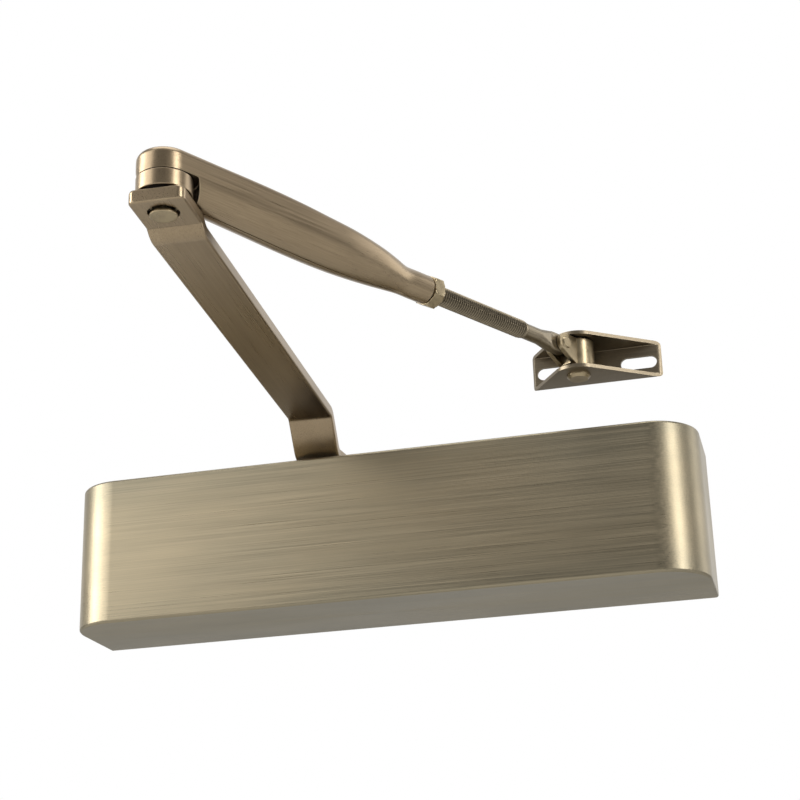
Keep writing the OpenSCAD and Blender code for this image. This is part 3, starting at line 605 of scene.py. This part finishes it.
def build_forearm():
    centre = rod_z / MM
    neck_start, neck_end, neck_r = NECK
    stations = FOREARM + [(s, neck_r, centre + neck_r, centre - neck_r, neck_r - 0.01)
                          for s in (neck_start, (neck_start + neck_end) / 2, neck_end)]
    places = [2.0 * k for k in range(int(neck_end / 2) + 1)] + [neck_end - 0.5, neck_end]
    sections = []
    for s in places:
        half, top, low, corner = blend_between(stations, s)
        seam = min(max((neck_start + 4 - s) / 12, 0), 1)
        section = half_section(half, top, low, corner, seam)
        if s == neck_end:
            section = [(u * 0.93, centre + (z - centre) * 0.93) for u, z in section]
        sections.append((s, section))
    profiles = []
    for s, section in reversed(sections):
        profiles.append([Vector((s, u, z)) * MM for u, z in section])
    sweep = 32
    for i in range(1, sweep):
        a = math.pi / 2 + math.pi * i / sweep
        profiles.append([Vector((u * math.cos(a), u * math.sin(a), z)) * MM
                         for u, z in sections[0][1]])
    for s, section in sections:
        profiles.append([Vector((s, -u, z)) * MM for u, z in section])
    points = [p for profile in profiles for p in profile]
    rows = len(profiles[0])
    faces = [(i * rows + k, i * rows + k + 1, (i + 1) * rows + k + 1, (i + 1) * rows + k)
             for i in range(len(profiles) - 1) for k in range(rows - 1)]
    last = (len(profiles) - 1) * rows
    faces.append(tuple(range(rows)) + tuple(last + k for k in reversed(range(rows))))
    forearm = mesh_object("forearm_tube", points, faces)
    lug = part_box("elbow_shim")[1].z / MM + 0.05
    under, notch_r = 50, 12.3
    notch = lathe("notch", [(0, under), (notch_r, under), (notch_r, lug - 0.3),
                            (notch_r - 0.3, lug), (0, lug)], steps=96)
    pin_r, sink_r, sink_z = 5.0, 6.6, 76.7
    above = 79
    hole = lathe("hole", [(0, under + 5), (pin_r, under + 5), (pin_r, sink_z), (sink_r, sink_z),
                          (sink_r, sink_z + 1.2), (sink_r + 0.5, above), (0, above)])
    bore_start, bore_r = 80, 4.0
    bore = lathe("bore", [(0, bore_start), (bore_r, bore_start), (bore_r, neck_end - 0.5),
                          (bore_r + 0.8, neck_end + 1), (0, neck_end + 1)],
                 (0, 0, rod_z), axis="X")
    combine(forearm, [notch, hole, bore])
    place(forearm, AT_ELBOW, "forearm", "arm_plate", finishes["arm_plate"], ["forearm"])


build_forearm()


# ---------- lock nut and rod ----------

def build_lock_nut():
    start = NECK[1] + 0.15
    thick, flats, bore = 5.6, 12.0, 4.0
    rings = []
    chamfer = [(0.0, 5.9), (0.12, 6.2), (0.75, 6.95)]
    sides = 96
    stations = [(x, r) for x, r in chamfer] + [(thick - x, r) for x, r in reversed(chamfer)]
    for x, cap in stations:
        ring = []
        for k in range(sides):
            a = 2 * math.pi * k / sides
            turn = (a + math.pi / 6) % (math.pi / 3) - math.pi / 6
            r = min(flats / 2 / math.cos(turn), cap)
            ring.append(Vector((start + x, r * math.cos(a), r * math.sin(a))) * MM)
        rings.append(ring)
    for x, r in ((thick, bore + 0.6), (thick - 0.6, bore), (0.6, bore), (0.0, bore + 0.6)):
        rings.append([Vector((start + x, r * math.cos(2 * math.pi * k / sides),
                              r * math.sin(2 * math.pi * k / sides))) * MM for k in range(sides)])
    nut = loft("lock_nut_hex", rings, closed=True)
    place(nut, AT_ROD, "lock_nut", "bright_plate", finishes["bright_plate"], ["lock_nut"])


build_lock_nut()

ROD_R = 3.94
ROOT_R = 3.3
PITCH = 1.25
THREAD = (104.0, 194.8)
SHANK_R = 3.4
EYE = forearm_length / MM - 13
EAR_R = 4.28


def thread_radius(x, turn):
    """Radius of the rod's thread at x mm, at a share of a turn."""
    start, end = THREAD
    flat = 0.12
    run_out, run_in = 2.5, 1.2
    phase = (x / PITCH - turn) % 1.0
    rise = min(max(1 - abs(2 * phase - 1), flat), 1 - flat)
    depth = (rise - flat) / (1 - 2 * flat)
    fade = min(max((end - x) / run_out, 0), 1) * min(max((x - start) / run_in, 0.3), 1)
    return SHANK_R + (ROOT_R + (ROD_R - ROOT_R) * depth - SHANK_R) * fade


def thread_rings(sides):
    """Rings along the rod's thread."""
    start, end = THREAD
    rings = []
    per_pitch = 8
    steps = int((end - start) / PITCH * per_pitch)
    for i in range(steps + 1):
        x = start + (end - start) * i / steps
        ring = []
        for k in range(sides):
            a = 2 * math.pi * k / sides
            r = thread_radius(x, k / sides)
            ring.append(Vector((x, r * math.cos(a), r * math.sin(a))) * MM)
        rings.append(ring)
    return rings


def shank_rings(sides):
    """Rings from the thread's end to the tip: a round shank that flattens into the eye."""
    end = THREAD[1]
    eye_half, eye_r = 2.2, EAR_R
    flatten_start, flatten_length = EYE - 11, 5.5
    shank = [end + 1 + 1.5 * i for i in range(7)]
    blade = [EYE - 8.4 + 0.7 * i for i in range(13)]
    tip = [EYE + eye_r * math.sin(math.radians(a)) for a in (8, 20, 32, 44, 56, 66, 75, 82, 87)]
    rings = []
    for x in shank + blade + tip:
        share = min(max((x - flatten_start) / flatten_length, 0), 1)
        share = share * share * (3 - 2 * share)
        wide = SHANK_R + (eye_half - SHANK_R) * share
        tall = SHANK_R + (eye_r - SHANK_R) * share
        if x > EYE:
            tall = math.sqrt(eye_r ** 2 - (x - EYE) ** 2)
        power = 2 + 6 * share
        ring = []
        for k in range(sides):
            a = 2 * math.pi * k / sides
            c, s = math.cos(a), math.sin(a)
            ring.append(Vector((x, wide * math.copysign(abs(c) ** (2 / power), c),
                                tall * math.copysign(abs(s) ** (2 / power), s))) * MM)
        rings.append(ring)
    return rings


def build_rod():
    sides = 40
    hole_r, through = 2.03, 6
    rod = loft("threaded_rod_stem", thread_rings(sides) + shank_rings(sides))
    hole = lathe("hole", [(0, -through), (hole_r, -through), (hole_r, through), (0, through)],
                 (EYE * MM, 0, 0), axis="Y")
    combine(rod, [hole])
    # The painted shade in the thread roots stops just short of the thread's end.
    root_shade_until = (THREAD[1] - 1.5) * MM
    finish = threaded_plate("rod_plate", rgb(0.14, 0.115, 0.08), rgb(0.24, 0.20, 0.14),
                            rgb(0.42, 0.35, 0.24), ROOT_R * MM, ROD_R * MM, root_shade_until)
    place(rod, AT_ROD, "rod", "shoe_plate", finish, ["threaded_rod"])


build_rod()


# ---------- swivel block and shoe ----------

def build_swivel():
    pin = forearm_length / MM
    low, high = (c.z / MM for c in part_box("swivel_block"))
    centre = rod_z / MM
    radius, half, root = 7.4, 4.5, 6.0
    edge, ear_edge, slot_half = 0.5, 0.35, 2.5
    bore_r, cross_r, reach = 3.53, 2.02, 9
    barrel = lathe("swivel_fork", rounded_disc(0, radius, low, high, edge), (pin * MM, 0, 0),
                   steps=96)
    lean = math.degrees(math.atan2(centre - EAR_R - low, pin - root - EYE))
    side = ([(pin, low), (pin, high), (pin - root, high)]
            + arc(EYE, centre, EAR_R, 90, 270 - lean, 24) + [(pin - root, low)])
    ears = soften(prism("ears", side, -half, half, axis="Y"), ear_edge)
    combine(barrel, [ears], "UNION")
    slot = block("slot", (EYE - reach, -slot_half, low - 2),
                 (EYE + EAR_R + 0.5, slot_half, high + 2))
    bore = lathe("bore", [(0, low - 2), (bore_r, low - 2), (bore_r, high + 2), (0, high + 2)],
                 (pin * MM, 0, 0))
    cross = lathe("cross", [(0, -reach), (cross_r, -reach), (cross_r, reach), (0, reach)],
                  (EYE * MM, 0, rod_z), axis="Y")
    combine(barrel, [slot, bore, cross])
    place(barrel, AT_ELBOW, "swivel", "bright_plate", finishes["bright_plate"], ["swivel_block"])
    shank_r, head_r, crown_r = 2.0, 2.68, 2.2
    profile = [(0, -half - 0.68), (crown_r, -half - 0.6), (head_r, -half - 0.02), (shank_r, -half),
               (shank_r, half), (head_r, half + 0.02), (crown_r, half + 0.6), (0, half + 0.68)]
    rivet = lathe("tilt_rivet_pin", profile, (EYE * MM, 0, 0), axis="Y", steps=48)
    place(rivet, AT_ROD, "swivel", "bright_plate", finishes["bright_plate"], ["tilt_rivet"])


build_swivel()


def build_shoe():
    low, high = (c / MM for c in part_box("shoe_bracket"))
    cx, cy = shoe.x / MM, shoe.y / MM
    sheet, nose_r = 1.6, 10.7
    left = (low.x - cx, high.y - cy)
    right = (high.x - cx, high.y - cy)
    start = math.degrees(math.atan2(left[1], left[0]) + math.acos(nose_r / math.hypot(*left)))
    end = math.degrees(math.atan2(right[1], right[0]) - math.acos(nose_r / math.hypot(*right))) + 360
    nose = arc(0, 0, nose_r, start, end, 48)
    plan = [left] + nose + [right]
    bracket = prism("shoe_channel", plan, low.z, high.z)
    back, front = high.y - cy, low.y - cy
    bend_r, inner_r = 1.9, 0.4
    inside = (arc(back - sheet - inner_r, high.z - sheet - inner_r, inner_r, 90, 0, 4)
              + arc(back - sheet - inner_r, low.z + sheet + inner_r, inner_r, 0, -90, 4)
              + [(front - 5, low.z + sheet), (front - 5, high.z - sheet)])
    channel = prism("channel", inside, left[0] - 5, right[0] + 5, axis="X")
    outside = ([(front - 5, low.z - 3), (back + 3, low.z - 3), (back + 3, high.z + 3),
                (front - 5, high.z + 3), (front - 5, high.z)]
               + arc(back - bend_r, high.z - bend_r, bend_r, 90, 0, 6)
               + arc(back - bend_r, low.z + bend_r, bend_r, 0, -90, 6) + [(front - 5, low.z)])
    trim = prism("trim", outside, left[0] - 5, right[0] + 5, axis="X")
    cutters = [channel, trim]
    half, reach, inset, drop = 2.9, 5.1, 10.2, 3.2
    for x in (left[0] + inset, right[0] - inset):
        z = rod_z / MM - drop
        outline = arc(x + reach, z, half, -90, 90, 16) + arc(x - reach, z, half, 90, 270, 16)
        cutters.append(prism("slot", outline, back - 4, back + 4, axis="Y"))
    bore_r = 3.5
    cutters.append(lathe("bore", [(0, low.z - 5), (bore_r, low.z - 5), (bore_r, high.z + 5),
                                  (0, high.z + 5)]))
    combine(bracket, cutters)
    soften(bracket, 0.22, segments=2, angle=40)
    place(bracket, AT_SHOE, "shoe", "shoe_plate", finishes["shoe_plate"], ["shoe_bracket"])
    low_pin, high_pin = (c.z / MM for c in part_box("shoe_pin"))
    pin = lathe("shoe_pin_rivet", [(0, low_pin + 0.03), (4.1, low_pin), (5.15, low.z - 0.7),
                                   (5.2, low.z - 0.02), (3.49, low.z), (3.49, high.z),
                                   (4.4, high.z + 0.05), (3.7, high_pin), (0, high_pin)])
    place(pin, AT_SHOE, "shoe", "bright_plate", finishes["bright_plate"], ["shoe_pin"])


build_shoe()


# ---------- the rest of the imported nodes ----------

def dress_packed_nodes():
    """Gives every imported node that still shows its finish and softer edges."""
    for row in frame["record"]["subparts"]:
        node = frame["nodes"][row["node"]]
        if node.hide_render:
            continue
        for holder in node.material_slots:
            holder.material = finishes[row["material_slot"]]
        weld = node.modifiers.new("weld", "WELD")
        weld.merge_threshold = 1e-6
        if row["node"] != "closing_spring":
            bevel = node.modifiers.new("edges", "BEVEL")
            bevel.width = 0.25 * MM
            bevel.segments = 2
            bevel.limit_method = "ANGLE"
            bevel.angle_limit = math.radians(40)
        node.modifiers.new("normals", "WEIGHTED_NORMAL")


dress_packed_nodes()


# ---------- stage, light and camera ----------

def build_floor():
    size, height = 30.0, -0.32
    floor = mesh_object("floor", [(-size, -size, height), (size, -size, height),
                                  (size, size, height), (-size, size, height)], [(0, 1, 2, 3)])
    g = Graph("floor_paint")
    grit = g.noise((30, 30, 30), detail=4)
    g.set(g.shader, "Base Color", g.mix(g.stretch(grit, 0.3, 0.7), rgb(0.62, 0.62, 0.61),
                                        rgb(0.66, 0.66, 0.65)))
    g.set(g.shader, "Roughness", 0.8)
    floor.data.materials.append(g.material)


build_floor()


def softbox(name, azimuth, elevation, distance, width, height, watts):
    """Area light that looks at the closer. Azimuth 0 is in front, +90 is to the right."""
    data = bpy.data.lights.new(name, "AREA")
    data.shape = "RECTANGLE"
    data.size, data.size_y = width, height
    data.energy = watts
    lamp = bpy.data.objects.new(name, data)
    a, e = math.radians(azimuth), math.radians(elevation)
    target = Vector((0, -0.08, 0.02))
    back = Vector((math.sin(a) * math.cos(e), -math.cos(a) * math.cos(e), math.sin(e)))
    lamp.location = target + back * distance
    lamp.rotation_euler = back.to_track_quat("Z", "Y").to_euler()
    bpy.context.scene.collection.objects.link(lamp)


softbox("left_box", -70, 17, 1.5, 0.55, 1.1, 15)
softbox("left_fill", -44, 20, 1.8, 1.0, 1.6, 14)
softbox("right_box", 62, 17, 1.5, 0.46, 1.1, 12)
softbox("right_rim", 118, 17, 1.5, 0.5, 1.1, 2.8)
softbox("top_box", 10, 78, 0.95, 0.9, 0.6, 5)


def build_world():
    """Bright behind the object, dim in front. The camera itself sees plain white."""
    world = bpy.data.worlds.new("studio")
    bpy.context.scene.world = world
    world.use_nodes = True
    nodes, links = world.node_tree.nodes, world.node_tree.links
    shader = nodes["Background"]
    split = nodes.new("ShaderNodeSeparateXYZ")
    links.new(nodes.new("ShaderNodeTexCoord").outputs["Generated"], split.inputs[0])

    def ramp(value, low, high, to_low, to_high):
        node = nodes.new("ShaderNodeMapRange")
        node.interpolation_type = "SMOOTHSTEP"
        links.new(value, node.inputs["Value"])
        for key, number in (("From Min", low), ("From Max", high), ("To Min", to_low),
                            ("To Max", to_high)):
            node.inputs[key].default_value = number
        return node.outputs["Result"]

    behind = ramp(split.outputs["Y"], 0.15, 0.65, 0.31, 1.05)
    seen = nodes.new("ShaderNodeLightPath").outputs["Is Camera Ray"]
    pick = nodes.new("ShaderNodeMix")
    links.new(seen, pick.inputs[0])
    links.new(behind, pick.inputs[2])
    pick.inputs[3].default_value = 1.0
    links.new(pick.outputs[0], shader.inputs["Strength"])
    shader.inputs["Color"].default_value = rgb(1, 1, 1)


build_world()


def build_camera():
    azimuth, elevation, roll = (math.radians(v) for v in (14.05, -20.96, -1.665))
    data = bpy.data.cameras.new("camera")
    data.sensor_width = 36.0
    data.lens = 77.67
    data.clip_start = 0.01
    camera = bpy.data.objects.new("camera", data)
    back = Vector((math.sin(azimuth) * math.cos(elevation), -math.cos(azimuth) * math.cos(elevation),
                   math.sin(elevation)))
    right = (-back).cross(Vector((0, 0, 1))).normalized()
    up = back.cross(right)
    turned_right = right * math.cos(roll) + up * math.sin(roll)
    turned_up = up * math.cos(roll) - right * math.sin(roll)
    camera.matrix_world = Matrix(((turned_right.x, turned_up.x, back.x, 191.63 * MM),
                                  (turned_right.y, turned_up.y, back.y, -757.80 * MM),
                                  (turned_right.z, turned_up.z, back.z, -221.76 * MM),
                                  (0, 0, 0, 1)))
    bpy.context.scene.collection.objects.link(camera)
    bpy.context.scene.camera = camera


build_camera()
bpy.context.scene.view_settings.view_transform = "Standard"
